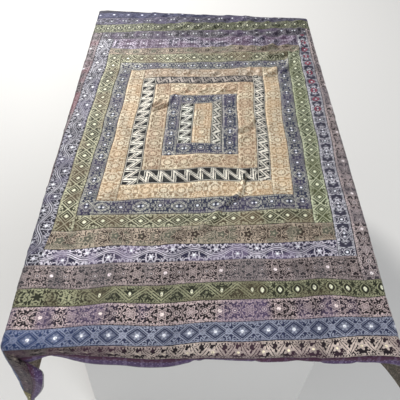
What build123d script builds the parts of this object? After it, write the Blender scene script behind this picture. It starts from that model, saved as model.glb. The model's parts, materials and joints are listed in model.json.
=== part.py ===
from build123d import *
import math
import os

# A patchwork table cover, laid over a rectangular table top and hanging down its four sides.
# It is pieced from strips of woven sari border in square rounds about a long centre panel, and
# backed by one plain lining. Every strip is a separate piece of cloth, sewn edge to edge.
#
# Frame: millimetres, +Z up, +Y towards the far end. The origin is the middle of the underside of
# the flat top, where the lining rests on the table.
#
# Each corner of the drape is worked out on the plane of the unfolded cloth. Every facet of the
# drape (the flat top, four hanging sides, and the folded ears at the corners) carries its piece
# of that plane into place without stretching it.

# ---- the table under the cloth ----
TABLE_WIDTH = 900.0
TABLE_LENGTH = 1550.0

# ---- cloth layers, counted from the table outwards ----
FOLD_CLEARANCE = 0.2  # the lining's height over the sharp folds that the drape is worked out on
LINING_THICKNESS = 0.4
FACE_THICKNESS = 0.8

# ---- the patchwork ----
CENTRE_WIDTH = 61.0
CENTRE_LENGTH = 208.0
PATTERN_SHIFT_X = -5.0
PATTERN_SHIFT_Y = 31.0
HEM_WIDTH = 40.0

# One round after another, from the middle outwards: name, then the widths of its strips on the
# left, right, front and back. A width of None means that the round has no strip there.
ROUNDS = [
    ("inner_zigzag", 47, 35, None, None),
    ("inner_blue", 44, 52, 53, 51),
    ("inner_tan", 54, 59, 64, 70),
    ("outer_zigzag", 48, 40, 58, 41),
    ("outer_tan", 56, 58, 61, 53),
    ("middle_blue", 46, 47, 57, 47),
    ("inner_green", 55, 53, 50, 62),
    ("brown_paisley", None, None, 62, 47),
    ("lilac", 54, 48, 52, 72),
    ("inner_rose", 50, 50, 68, 58),
    ("outer_green", 50, 50, 50, 63),
    ("outer_rose", 50, 50, 58, 55),
    ("outer_blue", 50, 50, 50, 50),
    ("gold", 50, 50, 50, 50),
    ("purple_hem", HEM_WIDTH, HEM_WIDTH, HEM_WIDTH, HEM_WIDTH),
]

# ---- how the cloth lies: it has slipped a little out of square on the table ----
LEAN = 0.037  # sideways shift of the lengthwise strips for each unit towards the far end
LEAN_FAN = -0.00003  # how the lean changes across the width, per mm
RISE = 0.090  # lengthwise shift of the crosswise strips for each unit to the right
RISE_FAN = 0.00003  # how the rise changes along the length, per mm

# ---- the ears, the spare cloth that folds out at the table's corners ----
EAR_OPENING = 20.0  # angle between the two layers of an ear, degrees
EAR_HEADING = {  # the way that each ear stands out, degrees anticlockwise from +X
    (-1, -1): -55.0,
    (1, -1): -45.0,
    (-1, 1): 135.0,
    (1, 1): 45.0,
}

HALF_WIDTH = TABLE_WIDTH / 2
HALF_LENGTH = TABLE_LENGTH / 2
ON_LINE = 1e-3  # how near a point is to a fold line to count as on it
SAME_WAY = 1e-6  # how near two directions are to count as the same
MITRE_REACH = 12.0  # how far from a fold the mitre of a seam's edge dies out
TIP_LENGTH = 15.0  # length of the small facets at each corner, where all the folds meet
SAME_PLACE = 1e-6  # how near two points are to count as one
FLATNESS = 1e-8  # how far from a plane the corners of one flat face may be
SMALLEST_AREA = 0.001  # a facet of a strip smaller than this is left out, square mm


def cross(a, b):
    return a[0] * b[1] - a[1] * b[0]


class Facet:
    """A flat piece of the drape: where it lies on the unfolded cloth, and where in space."""

    def __init__(self, limits, corner, along, across, corner_3d, along_3d, across_3d):
        self.limits = limits  # half-planes (a, b, c) with a * x + b * y <= c
        self.corner, self.along, self.across = corner, along, across
        self.corner_3d, self.along_3d, self.across_3d = corner_3d, along_3d, across_3d
        turn = cross(along, across)
        self.turn = turn
        self.normal = (along_3d.cross(across_3d) * turn).normalized()

    def holds(self, point):
        return all(a * point[0] + b * point[1] <= c + ON_LINE for a, b, c in self.limits)

    def place(self, point):
        offset = (point[0] - self.corner[0], point[1] - self.corner[1])
        run = cross(offset, self.across) / self.turn
        reach = cross(self.along, offset) / self.turn
        return self.corner_3d + self.along_3d * run + self.across_3d * reach


def wedge(corner, first, second):
    """The half-planes that hold the wedge between two rays from a corner."""
    if cross(first, second) < 0:
        first, second = second, first
    limits = []
    for ray, side in ((first, 1), (second, -1)):
        a, b = side * ray[1], -side * ray[0]
        limits.append((a, b, a * corner[0] + b * corner[1]))
    return limits


def tip(corner, first, second):
    """The half-plane that holds the tip of such a wedge, TIP_LENGTH long on both rays."""
    a, b = first[0] + second[0], first[1] + second[1]
    reach = TIP_LENGTH * (a * first[0] + b * first[1])
    return (a, b, reach + a * corner[0] + b * corner[1])


def beyond(limit):
    return tuple(-value for value in limit)


def flat_wedges(side, end):
    """The rays of the flat top, the side wall and the end wall at a corner, unfolded and in space."""
    down = Vector(0, 0, -1)
    to_middle_3d, to_other_side_3d = Vector(0, -end, 0), Vector(-side, 0, 0)
    return {
        "top": ((0, -end), (-side, 0), to_middle_3d, to_other_side_3d),
        "side": ((0, -end), (side, 0), to_middle_3d, down),
        "end": ((-side, 0), (0, end), to_other_side_3d, down),
    }


def ear_wedges(side, end):
    """The rays of the two layers and the nose of the ear at a corner, unfolded and in space."""
    opening = math.radians(EAR_OPENING)
    heading = math.radians(EAR_HEADING[(side, end)])
    # The three facets unfold to a right angle: layer + nose + layer = 90 degrees.
    layer = math.atan(1 / (1 + math.sqrt(2) * math.sin(opening / 2)))
    down = Vector(0, 0, -1)
    rays_3d = [down]
    for turn in (-side * end * opening / 2, side * end * opening / 2):
        out = Vector(math.cos(heading + turn), math.sin(heading + turn), 0)
        rays_3d.append(down * math.cos(layer) + out * math.sin(layer))
    rays_3d.append(down)
    angles = [0, layer, math.pi / 2 - layer, math.pi / 2]
    rays = [(side * math.cos(angle), end * math.sin(angle)) for angle in angles]
    return [(rays[i], rays[i + 1], rays_3d[i], rays_3d[i + 1]) for i in range(3)]


def corner_facets(side, end):
    """The ear at one corner of the table, and the small tips round the corner's very point."""
    corner = (side * HALF_WIDTH, end * HALF_LENGTH)
    corner_3d = Vector(corner[0], corner[1], 0)
    facets = []
    for rays in ear_wedges(side, end):
        limits = wedge(corner, *rays[:2])
        point = tip(corner, *rays[:2])
        facets.append(Facet(limits + [point], corner, *rays[:2], corner_3d, *rays[2:]))
        facets.append(Facet(limits + [beyond(point)], corner, *rays[:2], corner_3d, *rays[2:]))
    for rays in flat_wedges(side, end).values():
        limits = wedge(corner, *rays[:2]) + [tip(corner, *rays[:2])]
        facets.append(Facet(limits, corner, *rays[:2], corner_3d, *rays[2:]))
    return facets


def beyond_tips(face, sides, ends):
    """The half-planes that cut the tips off one flat face of the drape."""
    limits = []
    for side in sides:
        for end in ends:
            rays = flat_wedges(side, end)[face]
            limits.append(beyond(tip((side * HALF_WIDTH, end * HALF_LENGTH), *rays[:2])))
    return limits


def all_facets():
    right, back, down = Vector(1, 0, 0), Vector(0, 1, 0), Vector(0, 0, -1)
    both = (-1, 1)
    within_width = [(1, 0, HALF_WIDTH), (-1, 0, HALF_WIDTH)]
    within_length = [(0, 1, HALF_LENGTH), (0, -1, HALF_LENGTH)]
    limits = within_width + within_length + beyond_tips("top", both, both)
    facets = [Facet(limits, (0, 0), (1, 0), (0, 1), Vector(0, 0, 0), right, back)]
    for side in both:
        limits = within_length + [(-side, 0, -HALF_WIDTH)] + beyond_tips("side", [side], both)
        edge = side * HALF_WIDTH
        facets.append(Facet(limits, (edge, 0), (side, 0), (0, 1), Vector(edge, 0, 0), down, back))
    for end in both:
        limits = within_width + [(0, -end, -HALF_LENGTH)] + beyond_tips("end", both, [end])
        edge = end * HALF_LENGTH
        facets.append(Facet(limits, (0, edge), (1, 0), (0, end), Vector(0, edge, 0), right, down))
    for side in both:
        for end in both:
            facets += corner_facets(side, end)
    return facets


FACETS = all_facets()


def lay(s, t):
    """From the squared-up cloth to the plane of the table, with the cloth's lean and rise."""
    x = s + t * (LEAN + LEAN_FAN * s) + PATTERN_SHIFT_X
    y = t + s * (RISE + RISE_FAN * t) + PATTERN_SHIFT_Y
    return (x, y)


def clip(polygon, limits):
    """Cut a convex polygon back to the half-planes."""
    for a, b, c in limits:
        kept = []
        for i, point in enumerate(polygon):
            before = polygon[i - 1]
            here = a * point[0] + b * point[1] - c
            there = a * before[0] + b * before[1] - c
            if here * there < 0:
                share = there / (there - here)
                kept.append((before[0] + share * (point[0] - before[0]),
                             before[1] + share * (point[1] - before[1])))
            if here <= 0:
                kept.append(point)
        polygon = kept
    return polygon


def area(polygon):
    return abs(sum(cross(polygon[i - 1], polygon[i]) for i in range(len(polygon)))) / 2


def shared(point, known):
    """The point itself, or the one already known at the same place."""
    for other in known:
        if math.dist(point, other) < SAME_PLACE:
            return other
    known.append(point)
    return point


def outward(point):
    """How a point moves for each unit of height over the folds, mitred where facets meet."""
    normals = []
    for facet in FACETS:
        if facet.holds(point) and all((facet.normal - n).length > SAME_WAY for n in normals):
            normals.append(facet.normal)
    if len(normals) == 1:
        return normals[0]
    if len(normals) == 2:
        return (normals[0] + normals[1]) * (1 / (1 + normals[0].dot(normals[1])))
    return Vector(0, 0, 1)


def with_guards(polygon, facet):
    """Add points to the edges of a polygon a little way in from each fold that they cross."""
    guarded = []
    for i, point in enumerate(polygon):
        before = polygon[i - 1]
        shares = []
        for a, b, c in facet.limits:
            size = math.hypot(a, b)
            here = (a * point[0] + b * point[1] - c) / size + MITRE_REACH
            there = (a * before[0] + b * before[1] - c) / size + MITRE_REACH
            if here * there < 0:
                shares.append(there / (there - here))
        for share in sorted(shares):
            guarded.append((before[0] + share * (point[0] - before[0]),
                            before[1] + share * (point[1] - before[1])))
        guarded.append(point)
    return guarded


def with_neighbours(polygon, points):
    """Add to the edges of a polygon the other points that lie on them."""
    joined = []
    for i, point in enumerate(polygon):
        before = polygon[i - 1]
        run = (point[0] - before[0], point[1] - before[1])
        length = math.hypot(*run)
        between = []
        for other in points:
            offset = (other[0] - before[0], other[1] - before[1])
            along = (offset[0] * run[0] + offset[1] * run[1]) / length
            if ON_LINE < along < length - ON_LINE and abs(cross(run, offset)) / length < ON_LINE:
                between.append((along, other))
        joined += [other for _, other in sorted(between)] + [point]
    return joined


def wall_faces(points):
    """The edge of the cloth between two points: one face if it is flat, or else two triangles."""
    normal = (points[1] - points[0]).cross(points[2] - points[0]).normalized()
    if abs((points[3] - points[0]).dot(normal)) < FLATNESS:
        return [Face(Wire.make_polygon(points, close=True))]
    return [
        Face(Wire.make_polygon([points[0], points[i], points[i + 1]], close=True)) for i in (1, 2)
    ]


def broad_faces(points):
    """The cloth's upper or lower side within a facet: one face, or a fan about its middle."""
    middle = sum(points, Vector(0, 0, 0)) / len(points)
    normal = sum(
        ((points[i - 1] - middle).cross(points[i] - middle) for i in range(len(points))),
        Vector(0, 0, 0),
    ).normalized()
    if all(abs((point - middle).dot(normal)) < FLATNESS for point in points):
        return [Face(Wire.make_polygon(points, close=True))]
    return [
        Face(Wire.make_polygon([middle, points[i - 1], points[i]], close=True))
        for i in range(len(points))
    ]


def cloth_piece(outline, low, high):
    """A piece of cloth cut to an outline on the unfolded plane, between two heights."""
    patches = []
    known = []
    for facet in FACETS:
        polygon = clip(outline, facet.limits)
        if len(polygon) > 2 and area(polygon) > SMALLEST_AREA:
            polygon = [shared(point, known) for point in with_guards(polygon, facet)]
            polygon = [point for i, point in enumerate(polygon) if point != polygon[i - 1]]
            patches.append((facet, polygon))
    ground = {point: facet.place(point) for facet, polygon in patches for point in polygon}
    lift = {point: outward(point) for point in ground}
    faces = []
    walls = {}
    for _, polygon in patches:
        polygon = with_neighbours(polygon, ground)
        faces += broad_faces([ground[point] + lift[point] * high for point in polygon])
        faces += broad_faces([ground[point] + lift[point] * low for point in reversed(polygon)])
        for i, point in enumerate(polygon):
            before = polygon[i - 1]
            if (point, before) in walls:
                del walls[(point, before)]
                continue
            wall = [ground[before] + lift[before] * low, ground[point] + lift[point] * low,
                    ground[point] + lift[point] * high, ground[before] + lift[before] * high]
            # The same diagonal on both sides of a seam: it starts at the lesser of the two ends.
            walls[(before, point)] = wall if before < point else wall[1:] + wall[:1]
    for wall in walls.values():
        faces += wall_faces(wall)
    return Solid(Shell(faces))


def band(left, right, front, back):
    """The outline of a four-sided piece between two lengthwise and two crosswise seams."""
    return [lay(left, front), lay(right, front), lay(right, back), lay(left, back)]


def strips():
    """Each strip's name and its outline, from the centre panel to the hem."""
    left, right = -CENTRE_WIDTH / 2, CENTRE_WIDTH / 2
    front, back = -CENTRE_LENGTH / 2, CENTRE_LENGTH / 2
    yield "centre_panel", band(left, right, front, back)
    for name, left_width, right_width, front_width, back_width in ROUNDS:
        if front_width:
            yield name + "_front", band(left, right, front - front_width, front)
            yield name + "_back", band(left, right, back, back + back_width)
            front, back = front - front_width, back + back_width
        if left_width:
            yield name + "_left", band(left - left_width, left, front, back)
            yield name + "_right", band(right, right + right_width, front, back)
            left, right = left - left_width, right + right_width
    yield "lining", band(left, right, front, back)


def main():
    os.makedirs("parts", exist_ok=True)
    lining_top = FOLD_CLEARANCE + LINING_THICKNESS
    for name, outline in strips():
        if name == "lining":
            piece = cloth_piece(outline, FOLD_CLEARANCE, lining_top)
        else:
            piece = cloth_piece(outline, lining_top, lining_top + FACE_THICKNESS)
        piece = piece.moved(Location((0, 0, -FOLD_CLEARANCE)))
        piece.label = name
        export_step(piece, f"parts/{name}.step")
        print(name, round(area(outline)), round(piece.volume))


main()
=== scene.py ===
import json
import math

import bpy
import numpy as np
from mathutils import Matrix, Vector

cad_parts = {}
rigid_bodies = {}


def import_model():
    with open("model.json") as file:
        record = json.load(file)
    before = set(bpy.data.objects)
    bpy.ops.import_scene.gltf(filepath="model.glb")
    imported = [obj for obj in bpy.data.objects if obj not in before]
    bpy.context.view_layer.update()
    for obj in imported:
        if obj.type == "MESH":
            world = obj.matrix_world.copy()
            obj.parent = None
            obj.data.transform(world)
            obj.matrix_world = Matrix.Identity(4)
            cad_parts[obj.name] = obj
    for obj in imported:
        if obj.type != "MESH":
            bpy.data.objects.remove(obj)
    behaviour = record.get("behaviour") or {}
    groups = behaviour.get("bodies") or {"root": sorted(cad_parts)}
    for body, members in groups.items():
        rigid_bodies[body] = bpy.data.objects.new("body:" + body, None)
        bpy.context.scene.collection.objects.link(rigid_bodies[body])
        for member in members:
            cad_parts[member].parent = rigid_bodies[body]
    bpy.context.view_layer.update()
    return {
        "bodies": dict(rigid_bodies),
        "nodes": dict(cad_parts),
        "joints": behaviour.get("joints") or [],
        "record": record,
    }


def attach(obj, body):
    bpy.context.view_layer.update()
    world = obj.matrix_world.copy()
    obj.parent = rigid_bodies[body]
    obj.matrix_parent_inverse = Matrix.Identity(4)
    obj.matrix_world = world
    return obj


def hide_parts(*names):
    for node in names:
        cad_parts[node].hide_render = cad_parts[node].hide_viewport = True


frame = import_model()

# The looks of a patchwork table cover. One smooth surface is draped over the table and relaxed by a
# cloth simulation. Each strip of the patchwork, and the lining, is then cut from that surface.
#
# Lengths are metres. A point of the cloth is (s, t): s across and t along the squared-up
# patchwork, from the middle of the centre panel.

# ---- the table under the cloth, and the patchwork, as in the CAD source ----
HALF_WIDTH = 0.450
HALF_LENGTH = 0.775
CENTRE_WIDTH = 0.061
CENTRE_LENGTH = 0.208
SHIFT_X = -0.005  # from the middle of the table to the middle of the centre panel
SHIFT_Y = 0.031
LEAN = 0.037  # how far the strips move sideways for each metre towards the far end
LEAN_FAN = -0.03  # how much LEAN changes for each metre to the right
RISE = 0.090  # how far the strips move towards the far end for each metre to the right
RISE_FAN = 0.03  # how much RISE changes for each metre towards the far end

# Each round of strips: name, then widths in mm on the left, right, front and back.
ROUNDS = [
    ("inner_zigzag", 47, 35, None, None),
    ("inner_blue", 44, 52, 53, 51),
    ("inner_tan", 54, 59, 64, 70),
    ("outer_zigzag", 48, 40, 58, 41),
    ("outer_tan", 56, 58, 61, 53),
    ("middle_blue", 46, 47, 57, 47),
    ("inner_green", 55, 53, 50, 62),
    ("brown_paisley", None, None, 62, 47),
    ("lilac", 54, 48, 52, 72),
    ("inner_rose", 50, 50, 68, 58),
    ("outer_green", 50, 50, 50, 63),
    ("outer_rose", 50, 50, 58, 55),
    ("outer_blue", 50, 50, 50, 50),
    ("gold", 50, 50, 50, 50),
    ("purple_hem", 40, 40, 40, 40),
]

# ---- the ears: the spare cloth at each corner, by side (-1 left) and end (-1 front) ----
EAR_OPENING = math.radians(12)  # the angle between an ear's two layers
# Which way an ear points, in degrees from the right, seen from above. Three lie near the front or
# the back, and the one at the front right stands out.
EAR_HEADING = {(-1, -1): -14, (1, -1): -35, (-1, 1): 14, (1, 1): 166}
EAR_TAPER = {(-1, -1): 0.75, (1, -1): 0.3, (-1, 1): 0.45, (1, 1): 0.45}  # share of width lost
EAR_DEPTH = 0.27  # how far down the whole taper is reached

# How far each side leans out as it hangs, in degrees, at places along its edge of the table.
LEANS = {
    "left": [(-0.775, 1), (0.0, 4), (0.35, 8), (0.775, 3)],
    "right": [(-0.775, 22), (-0.71, 10), (-0.65, 3), (-0.5, 9), (-0.35, 12), (0.2, 6), (0.775, 2)],
    "front": [(-0.45, -4), (-0.35, -12), (-0.24, -7), (-0.16, 3), (-0.05, 1), (0.07, -6),
              (0.13, -12), (0.22, -7), (0.31, -8), (0.40, -10), (0.45, -4)],
    "back": [(-0.45, 2), (-0.1, 6), (0.2, 3), (0.45, 5)],
}

# The front edge was sewn unevenly: how much narrower the gold strip is, at places along it.
GOLD_LOSS = [(-0.45, 0.0), (-0.36, 0.028), (-0.20, 0.020), (-0.05, 0.0)]
GOLD_LOSS_REACH = 0.048  # how far past the edge of the table the whole loss is reached

# The folds in the hanging cloth: their usual width, and how far they swing for each metre down.
SIDE_FOLD_WIDTH = 0.26
END_FOLD_WIDTH = 0.20
RIGHT_FOLD_SWING = 0.13
LEFT_FOLD_SWING = 0.06
END_FOLD_SWING = 0.09

# How far the seams wander, across and along, and over what length, as hand sewing does.
SEAM_WANDER_X = 0.0022
SEAM_WANDER_Y = 0.0026
SEAM_WANDER_LENGTH = 0.22

# ---- the simulation ----
DRAPE_STEP = 0.012  # spacing of the draped surface's points
FRAMES = 18  # how long the cloth hangs
SMOOTHING_ROUNDS = 3
HANGING_HOLD = 0.6  # how firmly the hanging sides keep to their start shape, from 0 to 1
BLOCK_INSET = 0.007  # from the table's edges to the block that stands for it
BLOCK_HEIGHT = -0.007
BLOCK_UNDERSIDE = -0.022
ON_TABLE_INSET = 0.006  # from the table's edges to the cloth that is held flat

# ---- the layers, from the table outwards ----
LINING_TOP = 0.0003
STRIP_UNDERSIDE = 0.0004
SEAM_TOP = 0.0008
STRIP_TOP = 0.0019
HEM_TOP = 0.0026
PUFF_REACH = 0.0035  # how far from a seam a strip rises to its full height
CLOTH_STEP = 0.0048  # spacing of the strips' points
LINING_STEP = 0.0074  # spacing of the lining's points, too wide for the sharpest creases
SEAM_POINTS = (0.0, 0.0012, 0.003, 0.006)  # extra points by the seams
PUCKER_HEIGHT = 0.00035  # small gathers along the seams
PUCKER_LENGTH = 0.026
PUCKER_REACH = 0.010
DEEPEST_PUCKER = -0.0003

# ---- the waves of the cloth, on the table and off it ----
WAVE_HEIGHT = 0.0018
WAVE_LENGTH = 0.17
SMALL_WAVE_HEIGHT = 0.0006
SMALL_WAVE_LENGTH = 0.055
WRINKLE_HEIGHT = 0.0034  # at the far right
WRINKLE_LENGTH = 0.05
FLAT_EDGE = 0.035  # how far from the table's edges the creases and waves fade
CREASE_BOW = 0.12  # how far a crease bows, as a share of its length
CREASE_FADE = 0.35  # the share of its length over which a crease dies out
HOLLOW_DEPTH = 0.45  # the hollow beside a crease: its depth, as a share of the crease's height
HOLLOW_PLACE = 1.9  # how far aside it lies, in half-widths of the crease
HOLLOW_WIDTH = 1.3  # its own half-width, in half-widths of the crease

# ---- the weave: the repeat of its threads along and across a strip, in millimetres ----
THREAD_LENGTH = 0.9
THREAD_WIDTH = 0.7

# ---- the stage ----
TOP_INSET = 0.012  # from the table's edges to the table top that is seen
TOP_HEIGHT = -0.006
TOP_UNDERSIDE = -0.024
BASE_INSET = 0.12  # from the table's edges to the base
FLOOR_HEIGHT = -0.74
FLOOR_REACH = 40
PALE = (0.75, 0.74, 0.72)  # the stage's colour


def lay(s, t):
    """From the squared-up patchwork to the plane of the table, with the cloth's lean and rise."""
    x = s + t * (LEAN + LEAN_FAN * s) + SHIFT_X
    y = t + s * (RISE + RISE_FAN * t) + SHIFT_Y
    return x, y


def sewn(s, t):
    """The same, with the unevenness of hand sewing."""
    x, y = lay(s, t)
    return (x + ripples(s, t, SEAM_WANDER_LENGTH, seed=21) * SEAM_WANDER_X,
            y + ripples(s, t, SEAM_WANDER_LENGTH, seed=22) * SEAM_WANDER_Y)


def patchwork():
    """Each strip: name, round, side, lowest and highest s, lowest and highest t."""
    left, right = -CENTRE_WIDTH / 2, CENTRE_WIDTH / 2
    front, back = -CENTRE_LENGTH / 2, CENTRE_LENGTH / 2
    found = [("centre_panel", "centre_panel", "left", left, right, front, back)]
    for name, *widths in ROUNDS:
        on_left, on_right, on_front, on_back = [(width or 0) / 1000 for width in widths]
        if on_front:
            found.append((name + "_front", name, "front", left, right, front - on_front, front))
            found.append((name + "_back", name, "back", left, right, back, back + on_back))
            front, back = front - on_front, back + on_back
        if on_left:
            found.append((name + "_left", name, "left", left - on_left, left, front, back))
            found.append((name + "_right", name, "right", right, right + on_right, front, back))
            left, right = left - on_left, right + on_right
    return found, (left, right, front, back)


STRIPS, EXTENT = patchwork()


# ---------------------------------------------------------------- the drape

def ripples(x, y, wavelength, seed, count=18):
    """Smooth random waves, about 1 high, of roughly one wavelength."""
    draw = np.random.default_rng(seed)
    total = 0
    for _ in range(count):
        heading, phase = draw.uniform(0, 2 * math.pi, 2)
        wave = 2 * math.pi / (wavelength * draw.uniform(0.7, 1.5))
        total = total + np.cos((x * math.cos(heading) + y * math.sin(heading)) * wave + phase)
    return total / math.sqrt(count)


def leaning(edge, place):
    """The direction in which a side hangs: how far out and how far down for each metre."""
    angle = np.radians(np.interp(place, *zip(*LEANS[edge])))
    return np.sin(angle), np.cos(angle)


def ear(side, end, over_x, over_y):
    """Points of the spare cloth at a corner, by how far they are past its two edges."""
    heading = math.radians(EAR_HEADING[(side, end)])
    layer = math.atan(1 / (1 + math.sqrt(2) * math.sin(EAR_OPENING / 2)))
    out, fall = leaning("left" if side < 0 else "right", end * HALF_LENGTH)
    first_down = np.array([side * out, 0.0, -fall])
    out, fall = leaning("front" if end < 0 else "back", side * HALF_WIDTH)
    second_down = np.array([0.0, end * out, -fall])
    first_out, second_out = (
        np.array([math.cos(heading + turn), math.sin(heading + turn), 0.0])
        for turn in (-side * end * EAR_OPENING / 2, side * end * EAR_OPENING / 2))
    reach = np.hypot(over_x, over_y)[..., None]
    angle = np.arctan2(over_y, over_x)[..., None]
    share = np.clip((angle - layer) / (math.pi / 2 - 2 * layer), 0, 1)
    share = share * share * (3 - 2 * share)
    from_down = np.minimum(np.minimum(angle, math.pi / 2 - angle), layer)
    depth = np.clip(reach * np.cos(from_down) / EAR_DEPTH, 0, 1)
    taper = 1 - EAR_TAPER[(side, end)] * depth ** 1.8
    fall = first_down * (1 - share) + second_down * share
    spread = first_out * (1 - share) + second_out * share
    rays = fall * np.cos(from_down) + spread * np.sin(from_down) * taper
    corner = np.array([side * HALF_WIDTH, end * HALF_LENGTH, 0.0])
    return corner + rays * reach


def start_shape(x, y):
    """Where each point of the flat cloth starts: on the table, down a side, or out in an ear."""
    over_x = np.maximum(np.abs(x) - HALF_WIDTH, 0)
    over_y = np.maximum(np.abs(y) - HALF_LENGTH, 0)
    loss = np.interp(x, *zip(*GOLD_LOSS)) * np.clip(over_y / GOLD_LOSS_REACH, 0, 1)
    over_y = over_y - loss * (y < 0)
    points = np.stack([np.clip(x, -HALF_WIDTH, HALF_WIDTH), np.clip(y, -HALF_LENGTH, HALF_LENGTH),
                       np.zeros(x.shape)], axis=-1)
    for axis, edge, hanging in ((0, "left", x < 0), (0, "right", x > 0),
                                (1, "front", y < 0), (1, "back", y > 0)):
        over = (over_x, over_y)[axis] * hanging
        out, fall = leaning(edge, (y, x)[axis])
        points[..., axis] += np.sign((x, y)[axis]) * over * out
        points[..., 2] -= over * fall
    for side in (-1, 1):
        for end in (-1, 1):
            spare = (side * x > HALF_WIDTH) & (end * y > HALF_LENGTH)
            points[spare] = ear(side, end, over_x[spare], over_y[spare])
    return points


def smoothed(points, rounds):
    """Round off the sharp folds of the start shape."""
    for _ in range(rounds):
        padded = np.pad(points, ((1, 1), (1, 1), (0, 0)), mode="reflect", reflect_type="odd")
        around = padded[:-2, 1:-1] + padded[2:, 1:-1] + padded[1:-1, :-2] + padded[1:-1, 2:]
        points = points * 0.5 + around * 0.125
    return points


def grid_faces(rows, columns):
    """Four-sided faces over a grid of points, by the points' numbers."""
    corner = (np.arange(rows - 1)[:, None] * columns + np.arange(columns - 1)[None, :]).ravel()
    return np.stack([corner, corner + 1, corner + columns + 1, corner + columns], axis=-1)


def mesh_object(name, points, faces):
    mesh = bpy.data.meshes.new(name)
    mesh.from_pydata(points.tolist(), [], faces.tolist())
    mesh.update()
    obj = bpy.data.objects.new(name, mesh)
    bpy.context.scene.collection.objects.link(obj)
    return obj


def block(name, half_x, half_y, low, high):
    """A box round the middle of the table."""
    points = np.array([[i * half_x, j * half_y, k] for k in (low, high)
                       for i, j in ((-1, -1), (1, -1), (1, 1), (-1, 1))])
    faces = np.array([[3, 2, 1, 0], [4, 5, 6, 7], [0, 1, 5, 4], [1, 2, 6, 5], [2, 3, 7, 6],
                      [3, 0, 4, 7]])
    return mesh_object(name, points, faces)


def table_block():
    """The table top that the simulated cloth hangs from."""
    table = block("table_block", HALF_WIDTH - BLOCK_INSET, HALF_LENGTH - BLOCK_INSET,
                  BLOCK_UNDERSIDE, BLOCK_HEIGHT)
    table.modifiers.new("Collision", "COLLISION")
    table.collision.thickness_outer = 0.004
    table.collision.cloth_friction = 8
    return table


def on_table(x, y):
    """True for the cloth that lies on the table."""
    inside_x = np.abs(x) < HALF_WIDTH - ON_TABLE_INSET
    return inside_x & (np.abs(y) < HALF_LENGTH - ON_TABLE_INSET)


def in_ear(x, y):
    """True for the spare cloth at the corners."""
    return (np.abs(x) > HALF_WIDTH) & (np.abs(y) > HALF_LENGTH)


def relaxed(points, x, y):
    """The same points after the cloth has hung for a moment, held on the table and at the ears."""
    rows, columns = x.shape
    cloth = mesh_object("drape", points.reshape(-1, 3), grid_faces(rows, columns))
    held = (on_table(x, y) | in_ear(x, y)).ravel()
    pins = cloth.vertex_groups.new(name="held")
    pins.add(np.flatnonzero(held).tolist(), 1.0, "REPLACE")
    pins.add(np.flatnonzero(~held).tolist(), HANGING_HOLD, "REPLACE")
    modifier = cloth.modifiers.new("Cloth", "CLOTH")
    settings = modifier.settings
    settings.quality = 6
    settings.mass = 0.3
    settings.air_damping = 3
    settings.tension_stiffness = settings.compression_stiffness = 30
    settings.shear_stiffness = 12
    settings.bending_stiffness = 1.2
    settings.vertex_group_mass = "held"
    modifier.collision_settings.distance_min = 0.003
    modifier.collision_settings.collision_quality = 2
    modifier.point_cache.frame_start = 1
    modifier.point_cache.frame_end = FRAMES
    table = table_block()
    scene = bpy.context.scene
    for number in range(1, FRAMES + 1):
        scene.frame_set(number)
    evaluated = cloth.evaluated_get(bpy.context.evaluated_depsgraph_get())
    hung = np.empty(rows * columns * 3)
    evaluated.data.vertices.foreach_get("co", hung)
    scene.frame_set(1)
    bpy.data.objects.remove(cloth)
    bpy.data.objects.remove(table)
    return hung.reshape(rows, columns, 3)


class Drape:
    """The draped surface, which can be asked for the place of any point of the cloth."""

    def __init__(self):
        left, right, front, back = EXTENT
        self.rows = round((right - left) / DRAPE_STEP) + 1
        self.columns = round((back - front) / DRAPE_STEP) + 1
        s = np.linspace(left, right, self.rows)
        t = np.linspace(front, back, self.columns)
        x, y = sewn(s[:, None], t[None, :])
        points = start_shape(x, y)
        over_x = np.maximum(np.abs(x) - HALF_WIDTH, 0) * ~in_ear(x, y)
        over_y = np.maximum(np.abs(y) - HALF_LENGTH, 0) * ~in_ear(x, y)
        swing = np.where(x > 0, RIGHT_FOLD_SWING, LEFT_FOLD_SWING)
        side_folds = ripples(y, 0.4 * x, SIDE_FOLD_WIDTH, seed=4) * swing
        end_folds = ripples(x, 0.4 * y, END_FOLD_WIDTH, seed=5) * END_FOLD_SWING
        points[..., 0] += np.sign(x) * over_x * side_folds
        points[..., 1] += np.sign(y) * over_y * end_folds
        points = smoothed(points, SMOOTHING_ROUNDS)
        flat = on_table(x, y)
        points[flat] = np.stack([x, y, np.zeros(x.shape)], axis=-1)[flat]
        points = relaxed(points, x, y)
        self.points = np.pad(points, ((1, 2), (1, 2), (0, 0)), mode="reflect", reflect_type="odd")
        self.low = (left, front)
        self.steps = ((right - left) / (self.rows - 1), (back - front) / (self.columns - 1))

    def at(self, s, t):
        """Catmull-Rom interpolation, in both directions."""
        row = np.clip((s - self.low[0]) / self.steps[0], 0, self.rows - 1)
        column = np.clip((t - self.low[1]) / self.steps[1], 0, self.columns - 1)
        i = np.minimum(row.astype(int), self.rows - 1)
        j = np.minimum(column.astype(int), self.columns - 1)
        row_shares = spline_shares(row - i)
        column_shares = spline_shares(column - j)
        total = 0
        for a in range(4):
            for b in range(4):
                share = (row_shares[a] * column_shares[b])[..., None]
                total = total + self.points[i + a, j + b] * share
        return total


def spline_shares(share):
    """What each of four neighbours counts for in a Catmull-Rom spline."""
    square, cube = share * share, share * share * share
    return (
        (-cube + 2 * square - share) / 2,
        (3 * cube - 5 * square + 2) / 2,
        (-3 * cube + 4 * square + share) / 2,
        (cube - square) / 2,
    )


drape = Drape()

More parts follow.
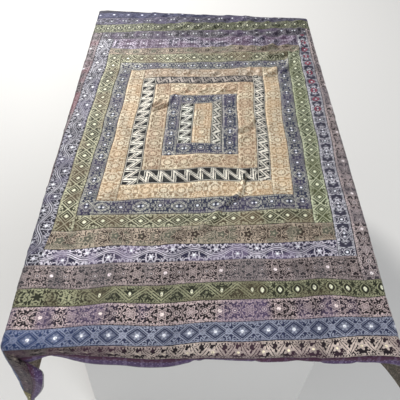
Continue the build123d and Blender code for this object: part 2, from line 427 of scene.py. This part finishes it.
# Creases on the flat top: start and end on the table, height and half-width of the ridge.
CREASES = [
    ((0.130, -0.196), (0.050, -0.345), 0.0086, 0.0056),
    ((0.046, -0.345), (-0.010, -0.425), 0.0078, 0.0100),
    ((-0.104, 0.178), (-0.168, 0.088), 0.0058, 0.0065),
    ((-0.150, 0.153), (-0.188, 0.108), 0.0041, 0.0060),
    ((-0.172, 0.094), (-0.128, 0.118), 0.0034, 0.0060),
    ((0.172, 0.060), (0.108, -0.010), 0.0075, 0.0080),
    ((0.146, -0.020), (0.112, -0.052), 0.0037, 0.0070),
    ((0.178, 0.066), (0.130, 0.052), 0.0041, 0.0065),
    ((-0.050, 0.336), (-0.076, 0.304), 0.0041, 0.0070),
    ((0.054, 0.342), (0.030, 0.312), 0.0044, 0.0070),
    ((0.178, 0.368), (0.157, 0.318), 0.0058, 0.0080),
    ((0.212, 0.352), (0.190, 0.308), 0.0044, 0.0080),
    ((-0.050, 0.232), (-0.088, 0.188), 0.0044, 0.0065),
    ((0.015, 0.243), (-0.016, 0.199), 0.0044, 0.0065),
    ((0.079, 0.239), (0.047, 0.200), 0.0044, 0.0065),
    ((0.110, 0.225), (0.064, 0.214), 0.0037, 0.0065),
    ((0.326, 0.484), (0.236, 0.436), 0.0095, 0.0100),
    ((0.332, 0.447), (0.284, 0.326), 0.0082, 0.0095),
    ((0.294, 0.578), (0.222, 0.500), 0.0080, 0.0105),
    ((0.380, 0.614), (0.305, 0.525), 0.0080, 0.0105),
    ((0.282, 0.368), (0.216, 0.322), 0.0076, 0.0090),
    ((0.396, 0.575), (0.362, 0.490), 0.0070, 0.0105),
    ((0.410, 0.680), (0.330, 0.640), 0.0064, 0.0110),
    ((0.250, 0.600), (0.170, 0.560), 0.0056, 0.0110),
]


def crease(x, y, start, end, height, width):
    """A ridge that dies out at both ends, with a shallow hollow along one side."""
    run_x, run_y = end[0] - start[0], end[1] - start[1]
    length = math.hypot(run_x, run_y)
    along = ((x - start[0]) * run_x + (y - start[1]) * run_y) / length
    aside = ((x - start[0]) * run_y - (y - start[1]) * run_x) / length
    aside = aside + CREASE_BOW * length * np.sin(along / length * math.pi) ** 2
    fade = np.clip(np.minimum(along, length - along) / (CREASE_FADE * length) + 0.5, 0, 1)
    fade = fade * fade * (3 - 2 * fade)
    ridge = np.exp(-(aside / width) ** 2)
    hollow = np.exp(-((aside + HOLLOW_PLACE * width) / (HOLLOW_WIDTH * width)) ** 2)
    return height * fade * (ridge - HOLLOW_DEPTH * hollow)


def unevenness(s, t):
    """How far the cloth stands off its smooth drape: soft waves all over, and the creases."""
    x, y = lay(s, t)
    waves = WAVE_HEIGHT * (1 + ripples(x, y, WAVE_LENGTH, seed=11) * 0.8)
    waves = waves + SMALL_WAVE_HEIGHT * ripples(x, y, SMALL_WAVE_LENGTH, seed=12)
    far_right = np.clip((x * 0.9 + y - 0.35) / 0.5, 0, 1)
    inside = np.minimum(HALF_WIDTH - np.abs(x), HALF_LENGTH - np.abs(y))
    inside = np.clip(inside / FLAT_EDGE, 0, 1)
    wrinkles = ripples(x - y, (x + y) * 0.35, WRINKLE_LENGTH, seed=13)
    creases = WRINKLE_HEIGHT * far_right * (1 + wrinkles)
    for start, end, height, width in CREASES:
        creases = creases + crease(x, y, start, end, height, width)
    return np.maximum(waves * (0.4 + 0.6 * inside) + creases * inside, 0)


def surface(s, t):
    """Place and outward direction of points of the cloth."""
    small = 0.0015
    here = drape.at(s, t)
    by_s = drape.at(s + small, t) - drape.at(s - small, t)
    by_t = drape.at(s, t + small) - drape.at(s, t - small)
    outward = np.cross(by_s, by_t)
    outward = outward / np.linalg.norm(outward, axis=-1, keepdims=True)
    return here + outward * unevenness(s, t)[..., None], outward


# ---------------------------------------------------------------- cut pieces of cloth

def stations(low, high, step):
    """Places from one seam to the other, closer together by the seams."""
    near = np.array(SEAM_POINTS)
    inner = np.linspace(near[-1], high - low - near[-1], max(2, round((high - low) / step)))
    return low + np.concatenate([near[:-1], inner, high - low - near[-2::-1]])


def closed_sheet(name, s, t, top, underside, uv):
    """A thin closed mesh over a grid of cloth points, with a UV map in metres."""
    rows, columns = s.shape
    here, outward = surface(s, t)
    upper = here + outward * top[..., None]
    lower = here + outward * underside
    points = np.concatenate([upper.reshape(-1, 3), lower.reshape(-1, 3)])
    count = rows * columns
    faces = grid_faces(rows, columns)
    index = np.arange(count).reshape(rows, columns)
    rim = np.concatenate([index[0, :], index[1:, -1], index[-1, -2::-1], index[-2:0:-1, 0]])
    after = np.roll(rim, -1)
    walls = np.stack([after, rim, rim + count, after + count], axis=-1)
    # The grid runs s first, then t, so its faces look down and are turned over for the top.
    everything = np.concatenate([faces[:, ::-1], faces + count, walls[:, ::-1]])
    obj = mesh_object(name, points, everything)
    layer = obj.data.uv_layers.new(name="weave")
    corners = np.empty(len(obj.data.loops), dtype=np.int32)
    obj.data.loops.foreach_get("vertex_index", corners)
    flat_uv = np.stack([part.ravel() for part in uv], axis=-1)
    layer.data.foreach_set("uv", flat_uv[corners % count].astype(np.float32).ravel())
    obj.data.shade_smooth()
    return obj


def strip_piece(name, side, s_low, s_high, t_low, t_high):
    s, t = np.meshgrid(stations(s_low, s_high, CLOTH_STEP), stations(t_low, t_high, CLOTH_STEP),
                       indexing="ij")
    to_seam = np.minimum(np.minimum(s - s_low, s_high - s), np.minimum(t - t_low, t_high - t))
    if side in ("left", "right"):
        along, across = t, s - (s_low + s_high) / 2
        if side == "left":
            across = -across
    else:
        along, across = s, t - (t_low + t_high) / 2
        if side == "back":
            across = -across
    to_seam = np.maximum(to_seam, 0)
    rise = 1 - np.exp(-(to_seam / PUFF_REACH) ** 1.5)
    gathers = np.exp(-(to_seam / PUCKER_REACH) ** 2) * ripples(s, t, PUCKER_LENGTH, seed=len(name))
    pucker = gathers * PUCKER_HEIGHT
    high = STRIP_TOP
    if name.startswith("purple_hem"):
        high = HEM_TOP
    top = SEAM_TOP + (high - SEAM_TOP) * rise + np.maximum(pucker, DEEPEST_PUCKER) * rise
    return closed_sheet(name + "_cloth", s, t, top, STRIP_UNDERSIDE, (along, across))


def lining_piece():
    left, right, front, back = EXTENT
    s, t = np.meshgrid(stations(left, right, LINING_STEP), stations(front, back, LINING_STEP),
                       indexing="ij")
    return closed_sheet("lining_cloth", s, t, np.full(s.shape, LINING_TOP), 0.0, (t, s))


# ---------------------------------------------------------------- woven patterns

class Field:
    """A number that varies over a material, worked out by Math nodes."""

    def __init__(self, tree, socket):
        self.tree, self.socket = tree, socket

    def math(self, operation, *others):
        node = self.tree.nodes.new("ShaderNodeMath")
        node.operation = operation
        for place, value in enumerate((self, *others)):
            feed(self.tree, node.inputs[place], value)
        return Field(self.tree, node.outputs[0])

    def __add__(self, other):
        return self.math("ADD", other)

    def __sub__(self, other):
        return self.math("SUBTRACT", other)

    def __mul__(self, other):
        return self.math("MULTIPLY", other)

    def __truediv__(self, other):
        return self.math("DIVIDE", other)

    def __abs__(self):
        return self.math("ABSOLUTE")

    def either(self, other):
        return self.math("MAXIMUM", other)

    def but_not(self, other):
        return self * (other * -1 + 1)

    def remap(self, low, high, to_low, to_high):
        """Goes smoothly from to_low at low, to to_high at high, and stays there on both sides."""
        node = self.tree.nodes.new("ShaderNodeMapRange")
        node.interpolation_type = "SMOOTHSTEP"
        values = (self, low, high, to_low, to_high)
        for place, value in zip(("Value", "From Min", "From Max", "To Min", "To Max"), values):
            feed(self.tree, node.inputs[place], value)
        return Field(self.tree, node.outputs[0])

    def below(self, limit, soft=0.6):
        return self.remap(limit - soft, limit + soft, 1.0, 0.0)

    def above(self, limit, soft=0.6):
        return self.remap(limit - soft, limit + soft, 0.0, 1.0)

    def near(self, place, reach, soft=0.5):
        return abs(self - place).below(reach, soft)


def feed(tree, socket, value):
    if isinstance(value, Field):
        tree.links.new(value.socket, socket)
    else:
        socket.default_value = value


class Weave:
    """The strip that a pattern is woven on: u along it and v across it, in millimetres."""

    def __init__(self, tree, half, seed):
        self.tree, self.half, self.seed = tree, half, seed
        uv = tree.nodes.new("ShaderNodeUVMap")
        uv.uv_map = "weave"
        split = tree.nodes.new("ShaderNodeSeparateXYZ")
        tree.links.new(uv.outputs[0], split.inputs[0])
        self.u = Field(tree, split.outputs[0]) * 1000
        self.v = Field(tree, split.outputs[1]) * 1000
        self.side = abs(self.v)

    def cell(self, period, shift=0.0):
        """Distance along the strip from the middle of the nearest repeat."""
        turns = (self.u - shift) / period + 0.5
        return (turns.math("FRACT") - 0.5) * period

    def odd(self, period):
        """1 on every second repeat, else 0."""
        return (self.u / period + 0.5).math("FLOOR").math("FLOORED_MODULO", 2.0)

    def length(self, x, y):
        join = self.tree.nodes.new("ShaderNodeCombineXYZ")
        feed(self.tree, join.inputs[0], x)
        feed(self.tree, join.inputs[1], y)
        node = self.tree.nodes.new("ShaderNodeVectorMath")
        node.operation = "LENGTH"
        self.tree.links.new(join.outputs[0], node.inputs[0])
        return Field(self.tree, node.outputs["Value"])

    def noise(self, x, y, size, depth=0.0, detail=1.0):
        join = self.tree.nodes.new("ShaderNodeCombineXYZ")
        feed(self.tree, join.inputs[0], x)
        feed(self.tree, join.inputs[1], y)
        feed(self.tree, join.inputs[2], depth)
        node = self.tree.nodes.new("ShaderNodeTexNoise")
        node.inputs["Scale"].default_value = 1 / size
        node.inputs["Detail"].default_value = detail
        self.tree.links.new(join.outputs[0], node.inputs["Vector"])
        return Field(self.tree, node.outputs[0])

    def scrolls(self, period, size=9.5, share=0.44, lines=3.0):
        """Curling shapes, mirrored about the middle of each repeat and of the strip."""
        x = self.u.math("PINGPONG", period)
        bumps = self.noise(x, self.side, size, depth=self.seed)
        return (bumps * lines).math("PINGPONG", 0.5).below(0.5 * share, 0.05)

    def flower(self, x, y, radius, petals, depth):
        """How far inside the outline of a flower a point is: over 0 inside."""
        angle = y.math("ARCTAN2", x)
        edge = (angle * petals).math("COSINE") * depth + radius
        return edge - self.length(x, y)

    def drop(self, x, y, width, height):
        """A pointed oval: over 0 inside."""
        return (abs(x) / width + (y / height).math("POWER", 2.0)) * -1 + 1

    def border(self, inset=3.0):
        """A pale line along both edges, with a row of small beads inside it."""
        line = self.side.near(self.half - inset, 0.8)
        beads = self.length(self.cell(6.5), self.side - (self.half - inset - 3.4)).below(1.6)
        return line.either(beads)


def zigzag(w):
    swing = w.half - 8.0
    slanted = w.u + w.v * 0.5 + w.seed * 31
    wave = (slanted.math("PINGPONG", 20.0) / 10.0 - 1) * swing
    rough = (w.noise(w.u, w.v, 6.0, depth=w.seed) - 0.5) * 5
    off = abs(w.v - wave) * 0.56 + rough
    lines = off.below(3.2, 0.4).either(off.near(8.0, 1.4, 0.4))
    inside = w.side.below(w.half - 4.5, 0.6)
    rails = w.side.near(w.half - 2.2, 0.8)
    return {"pale": lines * inside + rails,
            "tint": w.noise(w.u, w.v, 40.0, depth=w.seed + 3).above(0.60, 0.05) * 0.15}


def dotted(w, period=52.0):
    x = w.cell(period)
    odd = w.odd(period)
    single = w.length(x, w.v).below(4.0)
    double = w.length(abs(x) - 5.5, w.v).below(3.4)
    diamond = abs(x) + w.side * 1.1
    frames = diamond.near(20.0, 1.5).either(diamond.near(13.0, 1.0)) * odd
    halo = w.length(x, w.v).near(9.0, 1.0).but_not(odd)
    vine = w.scrolls(period, share=0.34)
    away = diamond.above(17.0)
    return {"pale": (vine * away * 0.8).either(frames).either(halo).either(w.border()),
            "bright": single.but_not(odd).either(double * odd),
            "tint": w.noise(w.u, w.v, 80.0, depth=w.seed).above(0.55, 0.08)}


def medallions(w, period=50.0):
    x = w.cell(period)
    away = w.length(x, w.v)
    flower = w.flower(x, w.v, 10.0, 8.0, 2.0)
    rings = away.near(15.5, 1.4).either(away.near(5.0, 1.2))
    leaves = w.scrolls(period, size=10.0, share=0.60) * away.above(17.5)
    return {"pale": (flower.above(0.0) * 0.8).either(rings).either(leaves).either(w.border()),
            "tint": w.noise(w.u, w.v, 60.0, depth=w.seed).above(0.50, 0.12)}


def circles(w, period=50.0):
    x = w.cell(period)
    away = w.length(x, w.v)
    diamond = abs(x) + w.side
    net = abs(x) / (period / 2) + w.side / (w.half - 4)
    bars = net.near(1.0, 0.10, 0.03).either(net.near(0.62, 0.05, 0.02))
    leaves = w.scrolls(period, share=0.50) * net.above(1.18, 0.04)
    return {"pale": bars.either(leaves).either(w.border()).either(diamond.below(7.5)),
            "bright": away.below(4.2),
            "tint": w.noise(w.u, w.v, 90.0, depth=w.seed).above(0.54, 0.10)}


def vine(w, period=54.0):
    x = w.cell(period)
    wave = (w.u * (math.pi / period)).math("COSINE") * (w.half * 0.42)
    off = abs(w.v - wave)
    stems = off.near(0.0, 2.0).either(off.near(5.6, 1.1))
    flower_v = w.v + (w.odd(period) * -2 + 1) * (w.half * 0.36)
    away = w.length(x, flower_v)
    flower = w.flower(x, flower_v, 7.4, 6.0, 2.2)
    scallops = w.length(w.cell(18.0), w.side - (w.half - 1.5)).near(7.0, 1.3)
    leaves = w.scrolls(period, size=8.5, share=0.46) * off.above(8.0)
    return {"pale": (stems.either(leaves) * away.above(11.5)).either(flower.above(0.0)).either(
                scallops),
            "bright": away.below(3.6),
            "tint": w.noise(w.u, w.v, 70.0, depth=w.seed).above(0.56, 0.08)}


def lattice(w, period=59.0):
    x = w.cell(period)
    net = abs(x) / (period / 2) + w.side / w.half
    bars = net.near(1.0, 0.085, 0.02).either(net.near(0.78, 0.03, 0.015))
    flower = w.flower(x, w.v, 8.6, 6.0, 2.6)
    knots = w.length(abs(x) - period / 2, w.v).near(6.0, 2.0)
    filling = w.scrolls(period, size=8.0, share=0.42) * net.above(1.14, 0.03)
    glow = net.below(0.58, 0.04) * 0.42
    return {"pale": bars.either(flower.above(0.0)).either(knots).either(filling).either(
                glow).either(w.border(2.4)),
            "bright": w.length(x, w.v).below(4.0),
            "tint": w.u.remap(-80.0, -420.0, 0.0, 1.0)}


def leafy(w, period=55.0):
    x = w.cell(period)
    blade_x = (abs(x) - 18.0 + w.v * 0.62) * 0.85
    blade = w.drop(blade_x, w.v, 6.4, w.half - 5)
    vein = abs(blade_x).below(0.9)
    flower = w.flower(x, w.v - 1, 9.6, 5.0, 3.0)
    core = w.length(x, w.v)
    leaves = w.scrolls(period, share=0.40)
    # painted shade: the pale thread and bright spots dim towards the strip's left end, down to
    # 0.16, standing for the shadow of the fold at the front left
    painted_fold_shade = w.u.remap(-400.0, 40.0, 0.16, 1.0)
    return {"pale": (blade.above(0.1, 0.06).but_not(vein)).either(flower.above(0.0)).either(
                leaves * 0.8 * core.above(14.0)).either(w.border(2.4)) * painted_fold_shade,
            "bright": core.below(3.4) * painted_fold_shade,
            "tint": w.noise(w.u, w.v, 80.0, depth=w.seed).above(0.52, 0.08)}


def drops(w, period=42.0):
    x = w.cell(period)
    shape = w.drop(x, w.v + 1.0, 6.0, 9.0)
    frame = w.drop(x, w.v + 1.0, 11.5, 16.0).near(0.0, 0.14, 0.05)
    leaves = w.scrolls(period, size=8.0) * w.length(x, w.v).above(14.0)
    return {"pale": frame.either(leaves).either(w.border()),
            "bright": shape.above(0.25, 0.1),
            "tint": w.noise(w.u, w.v, 70.0, depth=w.seed).above(0.56, 0.08)}


def chevrons(w, period=72.0):
    """Three stretches: bright flowers on the left, chevrons in the middle, drops on the right."""
    x = w.cell(period)
    wave = (w.u.math("PINGPONG", period / 2) / (period / 4) - 1) * (w.half - 8)
    off = (w.v - wave) * 0.8
    zig = off.near(0.0, 2.2).either(off.near(6.5, 1.2)).either(off.near(-6.5, 1.2))
    seeds = w.drop(x, w.v, 4.2, 7.0).above(0.2, 0.1)
    fine = w.scrolls(period, size=7.5, share=0.40) * 0.7
    flowers = w.flower(x, w.v, 13.0, 6.0, 4.0).near(0.0, 2.0).either(
        w.scrolls(period, share=0.46))
    close = drops(w)
    on_left = w.u.below(-240.0, 15.0)
    on_right = w.u.above(150.0, 15.0)
    middle = (on_left + on_right) * -1 + 1
    return {"pale": (flowers * on_left + zig.either(fine) * middle
                     + close["pale"] * on_right).either(w.border()),
            "bright": seeds * middle + close["bright"] * on_right,
            "tint": w.noise(w.u, w.v, 90.0, depth=w.seed).above(0.55, 0.08)}


def paisley(w, period=70.0):
    x = w.cell(period)
    curls = w.scrolls(period, size=17.0, share=0.42, lines=7.0)
    rosette = w.flower(x, w.v, 9.5, 5.0, 2.6)
    rim = rosette.near(-3.0, 1.4)
    patches = w.noise(w.u, w.v, 30.0, depth=w.seed).above(0.55, 0.05)
    return {"pale": (curls * rosette.below(-5.0)).either(rim).either(w.border()),
            "tint": (rosette.above(0.0) * w.odd(period)).either(patches * 0.8),
            "bright": w.length(x, w.v).below(3.0) * 0.4}


def blossoms(w, period=68.0):
    x = w.cell(period)
    away = w.length(x, w.v)
    flower = w.flower(x, w.v, 12.5, 6.0, 3.6)
    ring = flower.near(0.0, 1.8).either(flower.above(4.0) * 0.8)
    bud = w.length(abs(x) - period / 2, w.v)
    leaves = w.scrolls(period, size=13.0, share=0.50, lines=7.0) * away.above(18.0)
    return {"pale": ring.either(leaves * bud.above(8.0)).either(bud.near(5.6, 1.5)).either(
                w.border()),
            "bright": (away.below(4.6) * w.odd(period)).either(bud.below(2.2) * 0.7),
            "tint": w.noise(w.u, w.v * 0.3, 90.0, depth=w.seed).above(0.53, 0.08)}


def marbled(w, period=64.0):
    """Closely woven and mottled, with its colour drifting along the strip."""
    curls = w.scrolls(period, size=9.0, share=0.48)
    x = w.cell(period)
    return {"pale": curls.either(w.border()),
            "bright": w.length(x, w.v).below(3.2),
            "tint": w.noise(w.u, w.v, 90.0, depth=w.seed).above(0.48, 0.10)}


def ringed(w, period=55.0):
    """The dotted pattern, with rose-red rings round the spots on the far half."""
    plain = dotted(w, period)
    away = w.length(w.cell(period), w.v)
    far = w.u.above(20.0, 20.0)
    clear = away.below(13.5) * far * -1 + 1
    return {"pale": plain["pale"] * clear,
            "bright": plain["bright"] * (far * -0.3 + 1),
            "tint": away.near(9.0, 3.0) * far}


def satin(w):
    """Plain, with small woven spots and a darker band by its inner seam."""
    spots = w.length(w.cell(13.0), w.v).below(1.8).either(
        w.length(w.cell(13.0, 6.5), w.v - 7).below(1.8))
    return {"pale": (spots * 0.8).either(w.scrolls(40.0, size=16.0, share=0.3) * 0.35),
            "bright": w.v.below(-w.half + 4.5, 1.2) * 0.8,
            "tint": w.v.above(w.half * 0.3, 2.0)}


def in_light(red, green, blue):
    """A screen colour, 0 to 255, as the linear colour that shaders take."""
    return tuple((value / 255) ** 2.2 for value in (red, green, blue)) + (1.0,)


def mixed(tree, share, first, second, blend="MIX"):
    """A colour socket: first where share is 0, second where it is 1."""
    node = tree.nodes.new("ShaderNodeMix")
    node.data_type = "RGBA"
    node.blend_type = blend
    feed(tree, node.inputs["Factor"], share)
    for name, value in (("A", first), ("B", second)):
        socket = next(s for s in node.inputs if s.name == name and s.type == "RGBA")
        if isinstance(value, bpy.types.NodeSocket):
            tree.links.new(value, socket)
        else:
            socket.default_value = value
    return next(s for s in node.outputs if s.type == "RGBA")


def woven_colour(w, masks, figure, glints, colours):
    """The ground, the pale thread on it, the tint of both, the bright spots, the wear, and painted
    shade along the seams.
    """
    ground, pale, tint, bright = (in_light(*colour) for colour in colours)
    deep_tint = tuple(0.72 * c for c in tint[:3]) + (1.0,)
    base = mixed(w.tree, masks["tint"] * 0.75, ground, deep_tint)
    thread = mixed(w.tree, masks["tint"] * 0.42, pale, tint)
    colour = mixed(w.tree, figure, base, thread)
    if "bright" in masks:
        share = masks["bright"] * glints.remap(0.30, 0.50, 0.45, 1.0)
        colour = mixed(w.tree, share, colour, bright)
    streaks = w.noise(w.u * 0.08, w.v, 3.0, depth=w.seed + 2.0)
    drift = w.noise(w.u, w.v, 120.0, depth=w.seed + 1.0)
    # painted shade: each strip is darkened to 0.62 over its last few millimetres towards its seams,
    # standing for the shadow in the crease between strips
    painted_seam_shade = w.side.remap(w.half - 2.6, w.half - 0.4, 1.0, 0.62)
    shade = (glints * 1.5 + streaks * 0.35 + drift * 0.5 - 0.18) * painted_seam_shade
    grey = w.tree.nodes.new("ShaderNodeCombineColor")
    for socket in grey.inputs[:3]:
        w.tree.links.new(shade.socket, socket)
    return mixed(w.tree, 1.0, colour, grey.outputs[0], blend="MULTIPLY")


def thread_relief(w, masks, figure, glints):
    """The relief of the weave, with the pale thread and the bright spots raised."""
    along = (w.u * (2 * math.pi / THREAD_LENGTH)).math("SINE")
    across = (w.v * (2 * math.pi / THREAD_WIDTH)).math("SINE")
    height = figure + along * across * 0.25 + glints * 0.8
    if "bright" in masks:
        height = height + masks["bright"] * 0.8
    bump = w.tree.nodes.new("ShaderNodeBump")
    bump.inputs["Strength"].default_value = 0.42
    bump.inputs["Distance"].default_value = 0.0007
    w.tree.links.new(height.socket, bump.inputs["Height"])
    return bump.outputs[0]


def brocade(name, pattern, half, seed, colours):
    """A material woven in a pattern: ground, pale thread, tint of patches, and bright spots."""
    material = bpy.data.materials.new(name)
    material.use_nodes = True
    tree = material.node_tree
    shader = tree.nodes["Principled BSDF"]
    w = Weave(tree, half, seed)
    masks = pattern(w)
    worn = w.noise(w.u, w.v, 40.0, depth=seed + 5.0, detail=3.0).remap(0.30, 0.56, 0.60, 1.0)
    glints = w.noise(w.u, w.v, 3.4, depth=seed + 4.0, detail=2.0)
    figure = masks["pale"].math("MINIMUM", 1.0) * worn
    tree.links.new(woven_colour(w, masks, figure, glints, colours), shader.inputs["Base Color"])
    tree.links.new(thread_relief(w, masks, figure, glints), shader.inputs["Normal"])
    feed(tree, shader.inputs["Metallic"], figure * 0.3)
    feed(tree, shader.inputs["Roughness"], figure * -0.16 + 0.62)
    shader.inputs["Specular IOR Level"].default_value = 0.25
    shader.inputs["Sheen Weight"].default_value = 0.08
    shader.inputs["Sheen Roughness"].default_value = 0.35
    shader.inputs["Sheen Tint"].default_value = (0.9, 0.88, 1.0, 1.0)
    return material


SILVER = (232, 234, 240)
CREAM = (238, 226, 196)

# Each strip's pattern, then its colours: ground, pale thread, tint of patches, bright spots.
LOOKS = {
    "centre_panel": (medallions, (142, 118, 90), (228, 216, 190), (194, 156, 118), CREAM),
    "inner_zigzag": (zigzag, (18, 18, 18), (232, 230, 218), (150, 168, 150), CREAM),
    "inner_zigzag_right": (zigzag, (14, 14, 14), (206, 202, 190), (140, 156, 142), CREAM),
    "inner_blue": (dotted, (44, 50, 74), (194, 190, 178), (78, 70, 102), SILVER),
    "inner_tan": (medallions, (140, 118, 92), (226, 212, 184), (176, 140, 112), CREAM),
    "outer_zigzag": (zigzag, (20, 18, 20), (228, 222, 208), (150, 160, 150), CREAM),
    "outer_zigzag_back": (zigzag, (22, 18, 26), (166, 156, 148), (120, 108, 112), CREAM),
    "outer_tan_back": (medallions, (132, 112, 92), (202, 190, 172), (174, 144, 116), CREAM),
    "inner_tan_left": (medallions, (132, 111, 86), (212, 198, 172), (166, 132, 106), CREAM),
    "outer_tan_left": (medallions, (142, 118, 92), (217, 205, 180), (190, 154, 116), CREAM),
    "outer_tan": (medallions, (150, 126, 98), (230, 218, 192), (200, 164, 124), CREAM),
    "middle_blue": (dotted, (42, 47, 70), (184, 182, 170), (74, 66, 98), SILVER),
    "inner_green": (circles, (54, 54, 36), (188, 186, 158), (110, 90, 68), (226, 226, 200)),
    "inner_green_right": (circles, (56, 62, 38), (206, 210, 180), (94, 98, 62), (228, 230, 204)),
    "brown_paisley": (paisley, (60, 48, 40), (182, 166, 148), (122, 124, 106), CREAM),
    "lilac_front": (vine, (34, 30, 58), (208, 202, 212), (134, 120, 150), SILVER),
    "lilac_left": (vine, (28, 28, 44), (170, 168, 176), (84, 78, 106), SILVER),
    "lilac_right": (ringed, (54, 52, 68), (214, 212, 218), (178, 80, 98), SILVER),
    "lilac_back": (marbled, (50, 46, 66), (178, 170, 184), (106, 78, 104), SILVER),
    "inner_rose": (blossoms, (32, 22, 27), (176, 160, 157), (84, 82, 86), (238, 226, 228)),
    "inner_rose_right": (blossoms, (36, 26, 31), (198, 182, 180), (96, 90, 98), (240, 230, 230)),
    "inner_rose_left": (blossoms, (24, 17, 22), (152, 139, 143), (124, 70, 80), SILVER),
    "inner_rose_back": (dotted, (44, 40, 50), (148, 142, 150), (88, 70, 100), SILVER),
    "outer_green": (drops, (46, 48, 32), (158, 160, 128), (92, 94, 70), (228, 228, 200)),
    "outer_green_back": (drops, (38, 40, 28), (142, 143, 118), (80, 82, 62), (218, 218, 190)),
    "outer_green_front": (chevrons, (40, 42, 28), (152, 152, 122), (84, 74, 54),
                          (228, 228, 200)),
    "outer_rose": (blossoms, (28, 18, 24), (200, 180, 178), (104, 88, 122), (242, 226, 222)),
    "outer_rose_back": (dotted, (42, 40, 56), (126, 122, 140), (80, 70, 104), SILVER),
    "outer_blue": (lattice, (38, 44, 72), (148, 152, 168), (44, 72, 124), SILVER),
    "outer_blue_back": (lattice, (28, 28, 60), (74, 76, 104), (38, 38, 82), (190, 192, 205)),
    "gold": (leafy, (28, 16, 24), (214, 197, 186), (84, 56, 72), CREAM),
    "gold_left": (lattice, (52, 50, 28), (176, 168, 112), (120, 108, 60), CREAM),
    "gold_back": (leafy, (26, 23, 44), (86, 82, 106), (66, 62, 90), (190, 192, 205)),
    "lining": (marbled, (104, 88, 76), (186, 160, 146), (112, 110, 74), (190, 180, 150)),
    "purple_hem_left": (satin, (92, 88, 48), (176, 168, 116), (70, 62, 40), (206, 200, 160)),
    "purple_hem": (satin, (82, 64, 98), (150, 136, 168), (84, 44, 56), (168, 168, 166)),
}


def look_of(name, family, width, seed):
    """The strip's own look, or its round's. The pattern takes half the width, in millimetres."""
    pattern, *colours = LOOKS.get(name) or LOOKS[family]
    return brocade(name + "_weave", pattern, width * 500, seed, colours)


def make_cloth():
    lining = lining_piece()
    lining.data.materials.append(look_of("lining", "lining", 0.060, 0.2))
    left, right, front, back = EXTENT
    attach(lining, "root")
    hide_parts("lining")
    right - left
    back - front
    for number, (name, family, side, s_low, s_high, t_low, t_high) in enumerate(STRIPS):
        piece = strip_piece(name, side, s_low, s_high, t_low, t_high)
        width = min(s_high - s_low, t_high - t_low)
        piece.data.materials.append(look_of(name, family, width, number * 0.37))
        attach(piece, "root")
        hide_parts(name)
        flat = sorted((s_high - s_low, t_high - t_low))


make_cloth()


# ---------------------------------------------------------------- camera, lights and floor

def make_camera():
    """Above the near end of the table, looking down along it, rolled a little."""
    pitch = 0.830
    yaw = 0.038
    roll = 0.058
    place = (-0.047, -1.2605, 1.0325)
    ahead = Vector((math.sin(yaw) * math.cos(pitch), math.cos(yaw) * math.cos(pitch),
                    -math.sin(pitch)))
    level = Vector((math.cos(yaw), -math.sin(yaw), 0))
    above = level.cross(ahead)
    right = level * math.cos(roll) + above * math.sin(roll)
    up = above * math.cos(roll) - level * math.sin(roll)
    data = bpy.data.cameras.new("camera")
    data.sensor_width = 36
    data.lens = 44.2
    camera = bpy.data.objects.new("camera", data)
    camera.matrix_world = Matrix.Translation(place) @ Matrix(
        (right, up, -ahead)).transposed().to_4x4()
    bpy.context.scene.collection.objects.link(camera)
    bpy.context.scene.camera = camera


def area_light(name, place, target, size, power, colour):
    data = bpy.data.lights.new(name, "AREA")
    data.shape = "DISK"
    data.size = size
    data.energy = power
    data.color = colour
    light = bpy.data.objects.new(name, data)
    light.location = place
    light.rotation_euler = (Vector(target) - Vector(place)).to_track_quat("-Z", "Y").to_euler()
    bpy.context.scene.collection.objects.link(light)


def plain_material(name, colour):
    material = bpy.data.materials.new(name)
    material.use_nodes = True
    shader = material.node_tree.nodes["Principled BSDF"]
    shader.inputs["Base Color"].default_value = (*colour, 1)
    shader.inputs["Roughness"].default_value = 0.6
    return material


def make_stage():
    """The floor, the table and the lights, which are there only for the picture."""
    corners = np.array([[i * FLOOR_REACH, j * FLOOR_REACH, FLOOR_HEIGHT]
                        for i, j in ((-1, -1), (1, -1), (1, 1), (-1, 1))])
    floor = mesh_object("floor", corners, np.array([[0, 1, 2, 3]]))
    floor.data.materials.append(plain_material("floor", PALE))
    top = block("table_top", HALF_WIDTH - TOP_INSET, HALF_LENGTH - TOP_INSET,
                TOP_UNDERSIDE, TOP_HEIGHT)
    base = block("table_base", HALF_WIDTH - BASE_INSET, HALF_LENGTH - BASE_INSET,
                 FLOOR_HEIGHT, TOP_UNDERSIDE)
    for piece in (top, base):
        piece.data.materials.append(plain_material(piece.name, PALE))
    area_light("key", place=(-1.7, 4.2, 2.7), target=(0, 0, 0), size=0.9, power=225,
               colour=(1, 0.985, 0.96))
    area_light("fill", place=(1.4, -3.2, 3.0), target=(0, 0, -0.1), size=2.5, power=82,
               colour=(0.95, 0.97, 1))
    world = bpy.data.worlds.new("world")
    bpy.context.scene.world = world
    world.use_nodes = True
    world.node_tree.nodes["Background"].inputs["Color"].default_value = (0.9, 0.92, 0.95, 1)
    world.node_tree.nodes["Background"].inputs["Strength"].default_value = 0.42


make_camera()
make_stage()
bpy.context.scene.view_settings.view_transform = "Standard"
